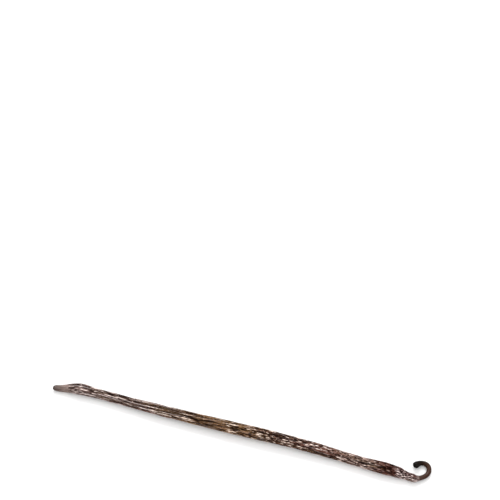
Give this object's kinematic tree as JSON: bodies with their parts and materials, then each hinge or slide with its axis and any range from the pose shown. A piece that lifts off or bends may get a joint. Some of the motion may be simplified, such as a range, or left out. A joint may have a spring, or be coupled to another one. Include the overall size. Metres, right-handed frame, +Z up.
{
  "type": "vanilla pod",
  "caption": "Cured vanilla pod: a long, thin, wrinkled dark brown seed pod with a blunt blossom end and a curled stalk.",
  "frame": {"origin": "on the surface the pod lies on, under the middle of its box", "axes": "+X along the pod from the blossom end to the hooked stalk, +Z up from the surface it lies on"},
  "size_m": [0.1812, 0.0122, 0.0057],
  "materials": {
    "pod_skin": "dark brown, lengthwise wrinkled, oily skin with greyish pink highlights"
  },
  "bodies": {
    "root": {"vanilla_pod": "pod_skin"}
  },
  "joints": []
}
